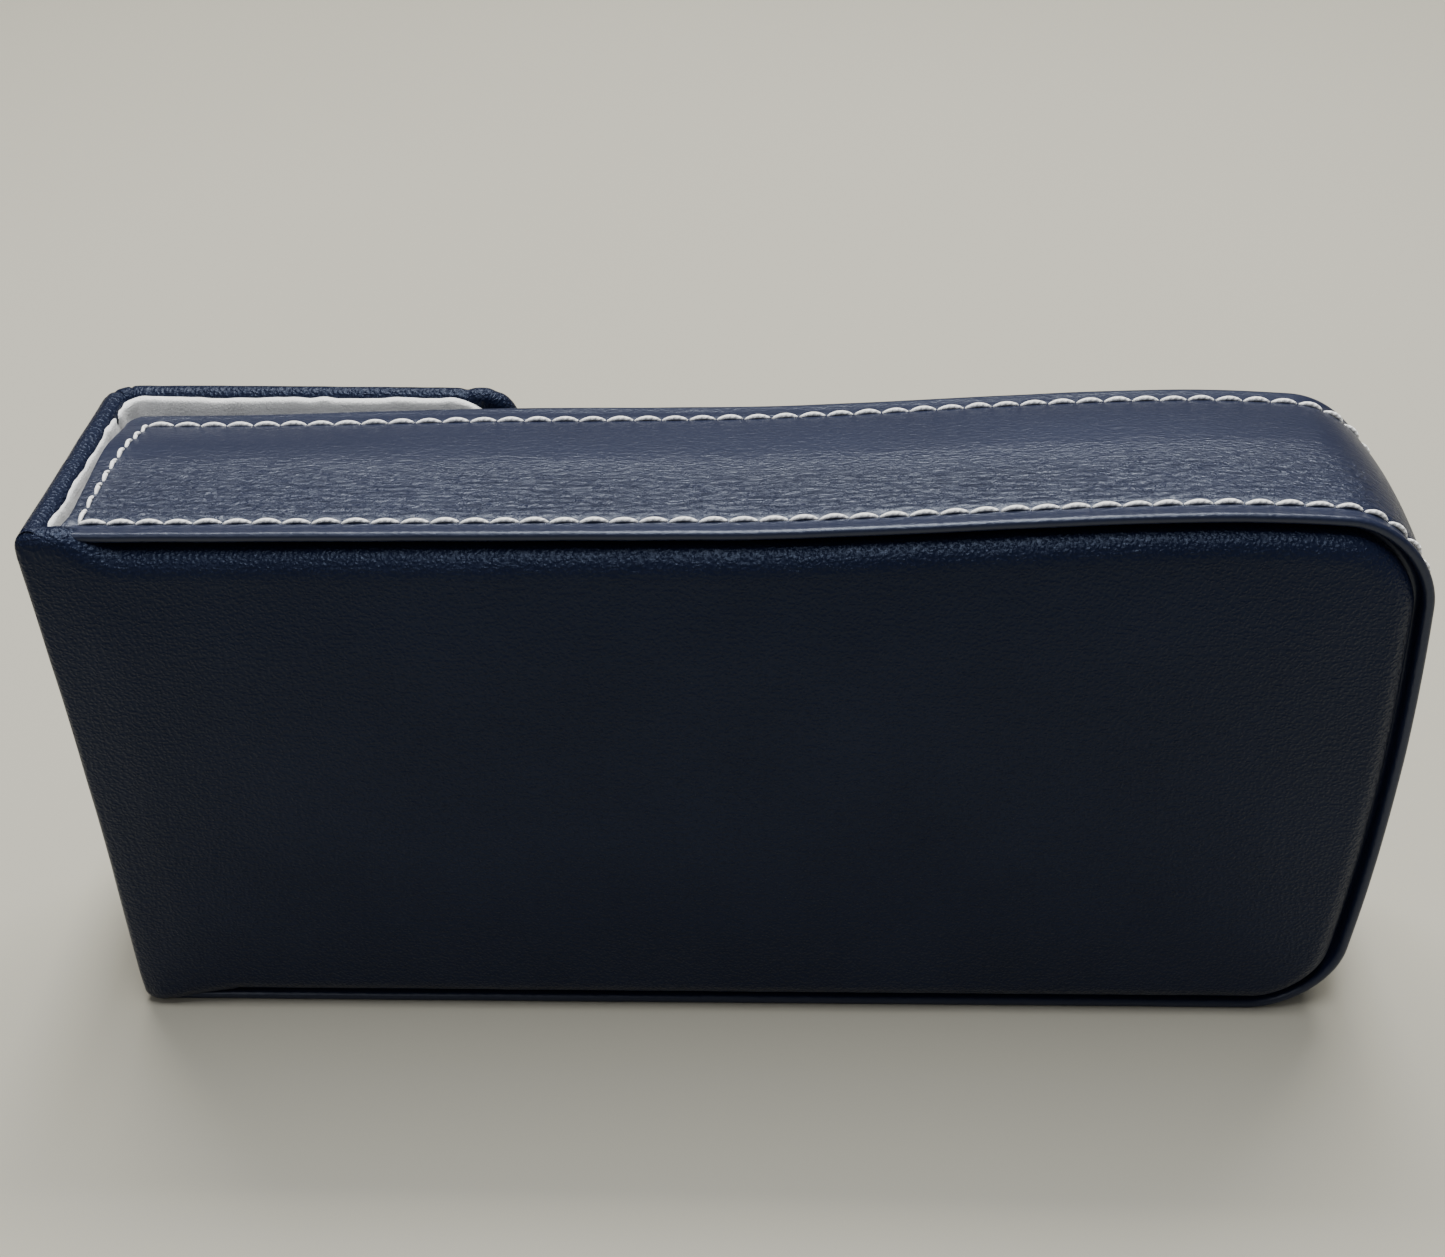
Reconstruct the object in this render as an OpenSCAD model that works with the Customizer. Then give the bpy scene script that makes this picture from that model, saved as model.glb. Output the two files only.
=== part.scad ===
// Slip-in eyeglasses case with a hard shell, a padded leatherette cover,
// a plush lining and a magnetic wrap-round flap at its mouth.
// The case stands on its long narrow side. +X runs towards the rounded end,
// -Y is the front panel, +Y is the back with the flap, +Z is up.

/* [Case] */
// Length over everything, from the end cover to the rounded end
case_l = 163.4; // [150:0.2:176]
// Height of the case at its mouth
mouth_h = 74.6; // [68:0.2:82]
// Depth of the band between its two rims
band_d = 30.6; // [28:0.2:40]
// Gain in height from the mouth to the fullest point of the case
swell = 3.3; // [0:0.1:5]
// Distance of the fullest point from the tip of the rounded end
swell_x = 25.4; // [20:0.2:32]
// Corner radius at the rounded end
corner_r = 12; // [9:0.5:16]
// How far the rounded end bows out past its corners
end_bow = 2.2; // [0:0.1:4]

/* [Wall layers] */
// Thickness of the leatherette, with the paper and glue behind it
leather_t = 1.0; // [0.8:0.1:1.2]
// Thickness of the folded rim of the band
rim_t = 1.3; // [1.1:0.1:1.5]
// Thickness of the board in the band
band_board_t = 2.0; // [1.6:0.1:2.4]
// Thickness of the boards in the two panels
panel_board_t = 1.5; // [1.2:0.1:2]
// Thickness of the foam under the panels' leatherette
foam_t = 1.3; // [1:0.1:2]
// Thickness of the plush lining in the body
lining_t = 1.0; // [0.6:0.1:1.2]
// How far the panels stand proud of the rims
panel_proud = 1.5; // [0.5:0.1:1.7]
// Distance of a panel's edge from the outside of the band
panel_in = 2.2; // [1.8:0.1:2.6]

/* [End cover and flap] */
// Clearance between the end cover and the mouth
mouth_gap = 0.3; // [0.3:0.1:1.2]
// Thickness of the board in the end cover and the flap
flap_board_t = 1.3; // [1:0.1:1.6]
// Thickness of the plush on the end cover and the flap
flap_lining_t = 1.2; // [0.8:0.1:1.4]
// Length of the flap along the back
flap_l = 52; // [44:0.5:70]
// Corner radius at the flap's tip
flap_r = 7; // [4:0.5:12]
// Clearance between the flap and the back panel
flap_gap = 0.7; // [0.6:0.1:1.5]
// How far the flap and the end cover stay off the ground
lift = 0.4; // [0.3:0.1:1]
// Radius of the rolled leatherette along each fold
fold_r = 0.5; // [0.4:0.05:0.6]
// Clearance round each fold
fold_gap = 0.3; // [0.3:0.05:0.5]

/* [Closure] */
// Diameter of the closure magnets
magnet_d = 10; // [8:0.5:12]
// Distance of the magnets from the flap's tip
magnet_in = 12; // [9:0.5:16]
// Spacing of the two magnets
magnet_pitch = 30; // [20:1:44]
// Thickness of the steel keeper in the back panel
keeper_t = 0.8; // [0.5:0.1:0.9]

/* [Stitching] */
// Distance of the stitching from the band's edges
stitch_in = 3.1; // [2.6:0.1:4]
// Width of the thread row
thread_w = 0.6; // [0.4:0.1:0.8]
// Depth of the thread row in the leatherette
thread_t = 0.35; // [0.2:0.05:0.5]

/* [Hidden] */
$fn = 48;

// positions along Y, measured from the band's middle
rim_y = band_d / 2;                      // the band's rims
skin_y = rim_y + panel_proud;            // the panels' outer faces
foam_y = skin_y - leather_t;             // under the panels' leatherette
board_y = foam_y - foam_t;               // under the panels' foam
seat_y = board_y - panel_board_t;        // where the panels sit on the band
flap_y0 = skin_y + flap_gap;             // the flap's inner face
flap_y1 = flap_y0 + flap_lining_t;       // under the flap's lining
flap_y2 = flap_y1 + flap_board_t;        // under the flap's leatherette
flap_y3 = flap_y2 + 2 * fold_r;          // the flap's outer face

// positions along X, measured from the end cover's outer face
cover_x1 = 2 * fold_r;
cover_x2 = cover_x1 + flap_board_t;
cover_x3 = cover_x2 + flap_lining_t;     // the end cover's inner face
mouth_x = cover_x3 + mouth_gap;          // the band's open end
round_x = case_l - end_bow;              // the rounded end, without its bow
full_x = case_l - swell_x;               // the fullest point
flat_x = round_x - corner_r;             // where the corners begin
flap_x = flap_l;                         // the flap's tip
flap_x0 = mouth_x;                       // where the flap's thickness begins

// fold axes, and the middle of the whole object
fold_x = fold_r;
fold_y0 = -skin_y + fold_r;
fold_y1 = flap_y3 - fold_r;
mid_x = case_l / 2;
mid_y = (flap_y3 - skin_y) / 2;

// heights
cover_z0 = lift;
cover_z1 = mouth_h - lift / 2;

function clamp01(u) = min(1, max(0, u));
function ease(u) = let (v = clamp01(u)) v * v * (3 - 2 * v);

// height of the case above its flat side, along its length
function height_at(x) =
    mouth_h
    + 0.36 * swell * clamp01((x - mouth_x) / (full_x - mouth_x))
    + 0.64 * swell * ease((x - full_x + 60) / 60)
    - 0.003 * pow(max(0, x - full_x), 2);

// the rounded end bows out most at mid height
function bowed(x, z) =
    x + end_bow * (1 - pow(2 * z / mouth_h - 1, 2))
          * pow(clamp01((x - flat_x + 2 * corner_r) / (3 * corner_r)), 2);

function warp(p) = [bowed(p[0], p[1]), p[1] * height_at(p[0]) / mouth_h];

step = 4;
// the outside of the band: along the top from x0, round the end, back below
function outline(x0) = concat(
    [warp([x0, mouth_h])],
    [for (k = [ceil((x0 + 0.4) / step) : floor((flat_x - 0.4) / step)])
        warp([k * step, mouth_h])],
    [for (a = [90 : -6 : 0])
        warp([flat_x + corner_r * cos(a), mouth_h - corner_r + corner_r * sin(a)])],
    [for (k = [1 : 9])
        warp([round_x, mouth_h - corner_r - k * (mouth_h - 2 * corner_r) / 10])],
    [for (a = [0 : -6 : -90])
        warp([flat_x + corner_r * cos(a), corner_r + corner_r * sin(a)])],
    [[x0, 0]]);

function unit(v) = v / max(1e-6, norm(v));
function inward(pts, i) =
    let (n = len(pts), d = unit(pts[i + 1] - pts[i - 1])) [d[1], -d[0]];

// the same path moved inwards by d
function inset(pts, d) = let (n = len(pts)) [for (i = [0 : n - 1])
    i == 0 ? [pts[0][0], pts[0][1] - d]
    : i == n - 1 ? [pts[i][0], pts[i][1] + d]
    : pts[i] + d * inward(pts, i)];

function reversed(pts) = [for (i = [len(pts) - 1 : -1 : 0]) pts[i]];
function between(x0, a, b) = concat(inset(outline(x0), a), reversed(inset(outline(x0), b)));

// a panel with a rounded tip, open towards the mouth
function flap_outline(x0, d) = let (r = flap_r - d) concat(
    [[x0, cover_z1 - d]],
    [for (a = [90 : -9 : 0])
        [flap_x - flap_r + r * cos(a), cover_z1 - flap_r + r * sin(a)]],
    [for (a = [0 : -9 : -90])
        [flap_x - flap_r + r * cos(a), cover_z0 + flap_r + r * sin(a)]],
    [[x0, cover_z0 + d]]);

// an outline in X and Z, as a plate between two depths
module slab(pts, y0, y1)
    translate([0, y1, 0]) rotate([90, 0, 0]) linear_extrude(height = y1 - y0) polygon(pts);

module bar(x0, x1, y0, y1, z0, z1)
    translate([x0, y0, z0]) cube([x1 - x0, y1 - y0, z1 - z0]);

// everything is drawn from the end cover's outer face and centred here
module centred() translate([-mid_x, -mid_y, 0]) children();

// the front skin widens to the full height of the end cover near the fold
flare_x0 = 5;
flare_x1 = 13;
function flare(x) = lift / 2 + (panel_in - lift / 2) * ease((x - flare_x0) / (flare_x1 - flare_x0));
function skin_outline() = concat(
    [for (x = [fold_x, 3, 5, 6, 7, 8, 9, 10, 11, 12]) [x, height_at(x) - flare(x)]],
    [for (p = inset(outline(flare_x1), panel_in)) p],
    [for (x = [12, 11, 10, 9, 8, 7, 6, 5, 3, fold_x]) [x, max(lift, flare(x))]]);

// ---- the band: a U of board, covered outside and lined inside ----

module thread_path(y, depth, over)
    slab(between(mouth_x + stitch_in - thread_w / 2, -over, depth), y - thread_w / 2, y + thread_w / 2);

module mouth_thread(depth, over) {
    x0 = mouth_x + stitch_in - thread_w / 2;
    y0 = rim_y - stitch_in - thread_w / 2;
    h = height_at(x0);
    slab([[x0, h + over], [x0 + thread_w, height_at(x0 + thread_w) + over],
          [x0 + thread_w, height_at(x0 + thread_w) - depth], [x0, h - depth]], -y0, y0);
    bar(x0, x0 + thread_w, -y0, y0, -over, depth);
}

module band_board() centred() color([0.62, 0.55, 0.45])
    slab(between(mouth_x + rim_t, rim_t, rim_t + band_board_t), -seat_y, seat_y);

module band_leather() centred() color([0.16, 0.2, 0.29])
    difference() {
        union() {
            slab(between(mouth_x, 0, rim_t), -rim_y, rim_y);
            // the leatherette is turned in over the board at the mouth
            bar(mouth_x, mouth_x + rim_t, -seat_y, seat_y, rim_t, rim_t + band_board_t);
            slab([[mouth_x, height_at(mouth_x) - rim_t],
                  [mouth_x + rim_t, height_at(mouth_x + rim_t) - rim_t],
                  [mouth_x + rim_t, height_at(mouth_x + rim_t) - rim_t - band_board_t],
                  [mouth_x, height_at(mouth_x) - rim_t - band_board_t]], -seat_y, seat_y);
        }
        thread_path(-rim_y + stitch_in, thread_t, 0.4);
        thread_path(rim_y - stitch_in, thread_t, 0.4);
        mouth_thread(thread_t, 0.4);
    }

module band_lining() centred() color([0.93, 0.93, 0.9])
    slab(between(mouth_x, rim_t + band_board_t, rim_t + band_board_t + lining_t), -seat_y, seat_y);

module stitching_front() centred() color([0.9, 0.9, 0.88]) thread_path(-rim_y + stitch_in, thread_t, 0);
module stitching_back() centred() color([0.9, 0.9, 0.88]) thread_path(rim_y - stitch_in, thread_t, 0);
module stitching_mouth() centred() color([0.9, 0.9, 0.88]) mouth_thread(thread_t, 0);

// ---- the two panels: board, foam, leatherette and lining ----

inner_in = panel_in + leather_t;
lined_in = rim_t + band_board_t + lining_t;

// s is -1 for the front panel and 1 for the back panel
module depths(pts, s, a, b) slab(pts, s < 0 ? -b : a, s < 0 ? -a : b);

module panel_board(s) color([0.62, 0.55, 0.45])
    depths(inset(outline(mouth_x + lining_t), inner_in), s, seat_y, board_y);

module panel_foam(s) color([0.85, 0.8, 0.6])
    depths(inset(outline(mouth_x + lining_t), inner_in), s, board_y, foam_y);

module panel_edge(s) depths(between(mouth_x, panel_in, inner_in), s, seat_y, foam_y);

module panel_lining(s) color([0.93, 0.93, 0.9]) union() {
    depths(inset(outline(mouth_x), lined_in), s, seat_y - lining_t, seat_y);
    // the lining is turned over the board's edge at the mouth
    depths([[mouth_x, inner_in], [mouth_x + lining_t, inner_in],
            [mouth_x + lining_t, height_at(mouth_x + lining_t) - inner_in],
            [mouth_x, height_at(mouth_x) - inner_in]], s, seat_y, foam_y);
}

module front_board() centred() panel_board(-1);
module front_foam() centred() panel_foam(-1);
module front_lining() centred() panel_lining(-1);

// the front skin runs past the mouth and ends in the rolled fold
module front_leather() centred() color([0.05, 0.07, 0.14]) union() {
    slab(skin_outline(), -skin_y, -foam_y);
    panel_edge(-1);
    translate([fold_x, fold_y0, cover_z0]) cylinder(r = fold_r, h = cover_z1 - cover_z0);
}

module back_board() centred() panel_board(1);
module back_lining() centred() panel_lining(1);

keeper_x = flap_x - magnet_in;
keeper_w = magnet_d + 3;
keeper_l = magnet_pitch + magnet_d + 4;
module keeper(g)
    bar(keeper_x - keeper_w / 2 - g, keeper_x + keeper_w / 2 + g, board_y - g, board_y + keeper_t,
        mouth_h / 2 - keeper_l / 2 - g, mouth_h / 2 + keeper_l / 2 + g);

module back_foam() centred() difference() { panel_foam(1); keeper(0.2); }
module keeper_plate() centred() color([0.7, 0.7, 0.72]) keeper(0);

module back_leather() centred() color([0.05, 0.07, 0.14]) union() {
    depths(inset(outline(mouth_x), panel_in), 1, foam_y, skin_y);
    panel_edge(1);
}

// ---- the end cover, which folds about the front panel's left edge ----

cover_y0 = fold_y0 + fold_r + fold_gap;
cover_y1 = flap_y2 - fold_gap;
turn_x = cover_x2 + 0.4;

module cover_leather() centred() color([0.14, 0.18, 0.27]) union() {
    bar(0, cover_x1, cover_y0, fold_y1, cover_z0, cover_z1);
    bar(cover_x1, turn_x, cover_y0, cover_y1, cover_z0, cover_z0 + leather_t);
    bar(cover_x1, turn_x, cover_y0, cover_y1, cover_z1 - leather_t, cover_z1);
    translate([fold_x, fold_y1, cover_z0]) cylinder(r = fold_r, h = cover_z1 - cover_z0);
}

module cover_board() centred() color([0.62, 0.55, 0.45])
    bar(cover_x1, cover_x2, cover_y0 + 1, cover_y1 - 1, cover_z0 + leather_t, cover_z1 - leather_t);

module cover_lining() centred() color([0.93, 0.93, 0.9])
    bar(cover_x2, cover_x3, cover_y0, cover_y1, cover_z0 + leather_t, cover_z1 - leather_t);

// ---- the flap, which folds about the end cover's far edge ----

module magnets(g, y0, y1)
    for (s = [-1, 1])
        translate([keeper_x, y1, mouth_h / 2 + s * magnet_pitch / 2])
            rotate([90, 0, 0]) cylinder(d = magnet_d + 2 * g, h = y1 - y0);

module flap_leather() centred() color([0.14, 0.18, 0.27]) union() {
    slab(flap_outline(fold_x + fold_r + fold_gap, 0), flap_y2, flap_y3);
    slab(concat(flap_outline(flap_x0, 0), reversed(flap_outline(flap_x0, leather_t))),
         flap_y0 + 0.5, flap_y2);
}

module flap_board() centred() color([0.62, 0.55, 0.45]) difference() {
    slab(flap_outline(flap_x0, leather_t), flap_y1, flap_y2);
    magnets(0.1, flap_y1 - 1, flap_y2 + 1);
}

module flap_lining() centred() color([0.93, 0.93, 0.9])
    slab(flap_outline(flap_x0, leather_t), flap_y0, flap_y1);

module flap_magnets() centred() color([0.75, 0.75, 0.78]) magnets(0, flap_y1, flap_y2);

band_board();
band_leather();
band_lining();
stitching_front();
stitching_back();
stitching_mouth();
front_board();
front_foam();
front_leather();
front_lining();
back_board();
back_foam();
back_leather();
back_lining();
keeper_plate();
cover_board();
cover_leather();
cover_lining();
flap_board();
flap_leather();
flap_lining();
flap_magnets();
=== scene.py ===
import math
import bpy, bmesh
import numpy as np
from mathutils import Matrix, Vector


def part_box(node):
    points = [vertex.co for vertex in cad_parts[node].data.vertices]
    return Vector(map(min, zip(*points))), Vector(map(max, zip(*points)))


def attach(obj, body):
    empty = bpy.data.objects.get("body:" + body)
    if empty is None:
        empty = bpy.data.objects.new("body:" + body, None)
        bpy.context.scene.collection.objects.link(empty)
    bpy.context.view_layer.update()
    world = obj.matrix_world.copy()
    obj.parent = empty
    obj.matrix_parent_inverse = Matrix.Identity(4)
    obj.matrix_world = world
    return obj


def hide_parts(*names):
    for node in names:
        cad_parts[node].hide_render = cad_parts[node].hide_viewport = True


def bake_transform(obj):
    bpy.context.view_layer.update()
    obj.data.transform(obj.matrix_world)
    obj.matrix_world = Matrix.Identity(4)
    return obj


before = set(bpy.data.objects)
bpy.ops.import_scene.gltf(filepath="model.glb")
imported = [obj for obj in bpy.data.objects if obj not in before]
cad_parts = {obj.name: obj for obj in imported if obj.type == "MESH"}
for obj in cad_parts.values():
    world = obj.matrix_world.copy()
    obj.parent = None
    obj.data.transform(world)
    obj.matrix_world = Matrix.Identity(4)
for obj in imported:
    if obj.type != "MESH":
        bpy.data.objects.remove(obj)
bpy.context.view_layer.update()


# ------------------------------------------------------------------ the frame, in millimetres
def mm_box(node):
    lo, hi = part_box(node)
    return np.array(lo, float) * 1000, np.array(hi, float) * 1000


lo_c, hi_c = mm_box("cover_leather")
lo_b, hi_b = mm_box("band_leather")
lo_f, hi_f = mm_box("front_leather")
lo_p, hi_p = mm_box("flap_leather")
lo_l, hi_l = mm_box("flap_lining")
lo_k, hi_k = mm_box("back_leather")
lo_cl, hi_cl = mm_box("cover_lining")
lo_bl, hi_bl = mm_box("band_lining")

X0 = lo_c[0]                         # outer face of the end cover
MID_Y = (lo_b[1] + hi_b[1]) / 2      # middle of the band
CASE_L = hi_b[0] - X0
RIM = (hi_b[1] - lo_b[1]) / 2        # the rims, from the band's middle
SKIN = MID_Y - lo_f[1]               # outer face of the front panel
FLAP_OUT = hi_p[1] - MID_Y           # outer face of the flap
FLAP_IN = lo_l[1] - MID_Y            # inner face of the flap
MOUTH_X = lo_b[0] - X0               # mouth of the band
COVER_IN = hi_cl[0] - X0             # inner face of the end cover
FLAP_L = hi_p[0] - X0
SEAT = hi_bl[1] - MID_Y              # the panels' seats on the band
ZC0, ZC1 = lo_c[2], hi_c[2]          # end cover, low and high
FOLD_R = 0.5
PX, PY = FOLD_R, -SKIN + FOLD_R      # the two fold axes
QX, QY = FOLD_R, FLAP_OUT - FOLD_R

MOUTH_H, SWELL, CORNER_R, END_BOW = 74.6, 3.3, 10.8, 2.2
ROUND_X = CASE_L - END_BOW
FULL_X = CASE_L - 25.4
FLAT_X = ROUND_X - CORNER_R
PANEL_IN = 2.2


def c01(u):
    return np.clip(u, 0.0, 1.0)


def ease(u):
    u = c01(u)
    return u * u * (3 - 2 * u)


def height_at(x):
    x = np.asarray(x, float)
    return (MOUTH_H + 0.36 * SWELL * c01((x - MOUTH_X) / (FULL_X - MOUTH_X))
            + 0.64 * SWELL * ease((x - FULL_X + 60) / 60)
            - 0.003 * np.maximum(0, x - FULL_X) ** 2)


def warp(x, z):
    x, z = np.asarray(x, float), np.asarray(z, float)
    bx = x + END_BOW * (1 - (2 * z / MOUTH_H - 1) ** 2) * c01((x - FLAT_X + 2 * CORNER_R) / (3 * CORNER_R)) ** 2
    return np.stack([bx, z * height_at(x) / MOUTH_H], -1)


def arc_pts(a0, a1, n):
    return np.radians(np.linspace(a0, a1, n))


def path_outline(x0, step):
    """Open path round the band, from the mouth's top to its bottom, clockwise seen from the front."""
    nx = int((FLAT_X - x0) / step) + 1
    xs = np.linspace(x0, FLAT_X, nx)
    a = arc_pts(90, 0, int(CORNER_R * 1.57 / step * 1.6) + 2)
    b = arc_pts(0, -90, int(CORNER_R * 1.57 / step * 1.6) + 2)
    zz = np.linspace(MOUTH_H - CORNER_R, CORNER_R, int((MOUTH_H - 2 * CORNER_R) / step) + 1)
    return np.concatenate([
        warp(xs, np.full_like(xs, MOUTH_H)),
        warp(FLAT_X + CORNER_R * np.cos(a), MOUTH_H - CORNER_R + CORNER_R * np.sin(a))[1:],
        warp(np.full_like(zz, ROUND_X), zz)[1:],
        warp(FLAT_X + CORNER_R * np.cos(b), CORNER_R + CORNER_R * np.sin(b))[1:],
        np.stack([xs[::-1], np.zeros_like(xs)], -1)[1:]])


def inward(p):
    t = np.gradient(p, axis=0)
    t /= np.linalg.norm(t, axis=1)[:, None] + 1e-12
    return np.stack([t[:, 1], -t[:, 0]], -1)


def arc_len(p):
    return np.concatenate([[0], np.cumsum(np.linalg.norm(np.diff(p, axis=0), axis=1))])


def at_len(p, s, L=None):
    L = arc_len(p) if L is None else L
    return np.stack([np.interp(s, L, p[:, k]) for k in range(p.shape[1])], -1)


# ------------------------------------------------------------------ smooth repeatable noise
def hash2(i, j, seed):
    h = (i * 374761393 + j * 668265263 + seed * 1274126177) & 0xFFFFFFFF
    h = ((h ^ (h >> 13)) * 1103515245) & 0xFFFFFFFF
    return ((h ^ (h >> 16)) & 0xFFFF) / 65535.0


def noise2(x, y, seed=0):
    x, y = np.asarray(x, float), np.asarray(y, float)
    xi, yi = np.floor(x).astype(np.int64), np.floor(y).astype(np.int64)
    fx, fy = x - xi, y - yi
    fx, fy = fx * fx * (3 - 2 * fx), fy * fy * (3 - 2 * fy)
    a, b = hash2(xi, yi, seed), hash2(xi + 1, yi, seed)
    c, d = hash2(xi, yi + 1, seed), hash2(xi + 1, yi + 1, seed)
    return (a * (1 - fx) + b * fx) * (1 - fy) + (c * (1 - fx) + d * fx) * fy - 0.5


# ------------------------------------------------------------------ meshes
def to_frame(p):
    """Case millimetres (x from the end cover, y from the band's middle, z up) to metres in the frame."""
    q = np.array(p, float)
    q[..., 0] += X0
    q[..., 1] += MID_Y
    return q / 1000.0


class Build:
    def __init__(self):
        self.v, self.f, self.a, self.n = [], [], [], 0

    def grid(self, P, A, flip=False, wrap=False):
        n, m = P.shape[:2]
        idx = np.arange(n * m).reshape(n, m) + self.n
        if wrap:
            idx = np.concatenate([idx, idx[:, :1]], 1)
        a, b, c, d = idx[:-1, :-1], idx[1:, :-1], idx[1:, 1:], idx[:-1, 1:]
        q = np.stack([a, b, c, d] if not flip else [a, d, c, b], -1).reshape(-1, 4)
        self.v.append(P.reshape(-1, 3)); self.a.append(A.reshape(-1, 3)); self.f.append(q)
        self.n += n * m
        return idx

    def make(self, name, merge=0.004, smooth=True):
        V = np.concatenate(self.v)
        V[:, 2] = np.maximum(V[:, 2], 0.02)
        V = to_frame(V)
        A = np.concatenate(self.a)
        F = np.concatenate(self.f)
        me = bpy.data.meshes.new(name)
        me.from_pydata(V.tolist(), [], F.tolist())
        at = me.attributes.new("flat", "FLOAT_VECTOR", "POINT")
        at.data.foreach_set("vector", A.astype(np.float32).ravel())
        bm = bmesh.new(); bm.from_mesh(me)
        if merge:
            bmesh.ops.remove_doubles(bm, verts=bm.verts, dist=merge / 1000)
        bmesh.ops.dissolve_degenerate(bm, dist=1e-7, edges=bm.edges)
        bm.to_mesh(me); bm.free()
        if smooth:
            me.polygons.foreach_set("use_smooth", [True] * len(me.polygons))
        me.update()
        ob = bpy.data.objects.new(name, me)
        bpy.context.scene.collection.objects.link(ob)
        return ob


def outward(ob, inside):
    """Makes the faces of a closed or nearly closed mesh point away from its inside."""
    bm = bmesh.new(); bm.from_mesh(ob.data)
    bmesh.ops.recalc_face_normals(bm, faces=bm.faces)
    c = Vector([float(x) for x in to_frame(np.array(inside, float))])
    s = sum((f.calc_center_median() - c).dot(f.normal) * f.calc_area() for f in bm.faces)
    if s < 0:
        bmesh.ops.reverse_faces(bm, faces=bm.faces)
    bm.to_mesh(ob.data); bm.free()
    return ob


def coons(T, B, L, R):
    """A patch from four curves. T and B run the same way, L and R from T to B."""
    n, m = len(T), len(L)
    s = np.linspace(0, 1, n)[:, None, None]
    sT = arc_len(T); sT = (sT / sT[-1])[:, None, None]
    t = arc_len(L); t = (t / t[-1])[None, :, None]
    return ((1 - t) * T[:, None] + t * B[:, None] + (1 - sT) * L[None] + sT * R[None]
            - ((1 - sT) * (1 - t) * T[0] + sT * (1 - t) * T[-1] + (1 - sT) * t * B[0] + sT * t * B[-1]))


# ------------------------------------------------------------------ the one leatherette sheet
R1, R2 = 1.0, 4.5                     # outer bend radii at the two folds
OFF = 0.3                             # padding of the end cover and of the flap beyond their plain skins
OUT_Y = FLAP_OUT + 0.7
TIP_X = FLAP_L + 1.4
U1 = R1 - OFF - R1 * math.pi / 2      # the end cover's side of the first fold
SEG2 = (OUT_Y - R2) - (-SKIN + R1)
U2 = U1 - SEG2
U3 = U2 - R2 * math.pi / 2
U_END = U3 - (TIP_X - R2 + OFF)
U_SEAM = U1 - SEG2 * 0.5


def bend(u):
    """Place and outward direction in the plan view of the sheet's outer face at length u."""
    u = np.asarray(u, float)
    p = np.zeros(u.shape + (2,)); n = np.zeros(u.shape + (2,))
    a = c01((R1 - OFF - u) / (R1 * math.pi / 2)) * math.pi / 2
    b = c01((U2 - u) / (R2 * math.pi / 2)) * math.pi / 2
    front, cover = u >= U1, (u < U1) & (u >= U2)
    n1 = np.stack([-np.sin(a), -np.cos(a)], -1)
    n2 = np.stack([-np.cos(b), np.sin(b)], -1)
    p1 = np.array([R1 - OFF, -SKIN + R1]) + R1 * n1
    p1[..., 0] += np.maximum(0, u - R1 + OFF)
    p2 = np.stack([0 * u - OFF, -SKIN + R1 + (U1 - u)], -1)
    p3 = np.array([R2 - OFF, OUT_Y - R2]) + R2 * n2
    run = np.maximum(0, U3 - u)
    p3[..., 0] += run
    p3[..., 1] -= 0.55 * c01(run / 48.0)
    p = np.where(front[..., None], p1, np.where(cover[..., None], p2, p3))
    n = np.where(front[..., None], n1, n2)
    return p, n


_ph = np.radians(np.linspace(0, 90, 8))
_ps = np.radians(np.linspace(0, 90, 7))[1:]   # the turn down inside
_pq = np.radians(np.linspace(0, 90, 12))
PROF_PANEL = np.concatenate([[[3.4, 0.0]], np.stack([3.1 * (1 - np.sin(_pq)), 3.1 * (1 - np.cos(_pq))], -1),
                             [[0.03, 3.3], [0.08, 3.5], [0.20, 3.65], [0.40, 3.75], [0.9, 3.8]]])
PROF_COVER = np.concatenate([[[3.4, 0.0]], np.stack([2.1 * (1 - np.sin(_ph)), 1.7 * (1 - np.cos(_ph))], -1),
                             np.stack([1.5 * (1 - np.cos(_ps)), 1.7 + 1.65 * np.sin(_ps)], -1),
                             [[2.0, 3.32], [2.5, 3.22], [3.0, 3.0]]])


def cover_share(u):
    return ease((9.0 - u) / 7.0)


def crown(d, u):
    """How far the padded face lies back from its fullest height."""
    w = cover_share(u)
    return -0.32 * ease((d - 1.0) / 14.0) * (1 - w) + 0.12 * (1 - ease(d / 6.0)) * w


def flare_in(u):
    return 0.1 + (PANEL_IN - 0.1) * ease((u - 4.0) / 7.5)


def slant(z):
    """The sheet's first fold leans in a little towards the ground."""
    t = c01(1 - z / 72.0)
    return 1.15 * t + 0.40 * np.sin(math.pi * t)


def ztop(u):
    u = np.asarray(u, float)
    top = ZC1 + 1.0
    return np.where(u < 4.0, top, height_at(u) - flare_in(u) + (top - height_at(4.0) + 0.1) * (1 - ease((u - 4) / 7.5)))


def zbot(u):
    u = np.asarray(u, float)
    return ZC0 + (PANEL_IN - ZC0) * ease((u - 2.0) / 15.0)


def sheet_point(u, z, h):
    p, n = bend(u)
    h = h * (1 - 0.15 * c01((U3 - u) / 48.0))
    q = p - n * h[..., None]
    lean = slant(z) * ease((22.0 - np.abs(u - 0.0)) / 20.0)
    soft = 0.42 * np.sqrt(c01(1 - z / 72.0)) * np.exp(-(u / 1.8) ** 2)
    return np.stack([q[..., 0] + lean + soft, q[..., 1] + soft, z], -1)


def relief(u, z, seed=3):
    """Small unevenness of the padding under the leatherette."""
    r = 0.10 * noise2(u / 17.0, z / 15.0, seed) + 0.05 * noise2(u / 6.0, z / 6.5, seed + 1)
    return r


def edge_relief(u, s_len):
    """Slight waves along a rolled edge."""
    return 0.10 * noise2(s_len / 5.0, 0.3 + 0 * s_len, 11) + 0.05 * noise2(s_len / 1.9, 0.7 + 0 * s_len, 12)


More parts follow.
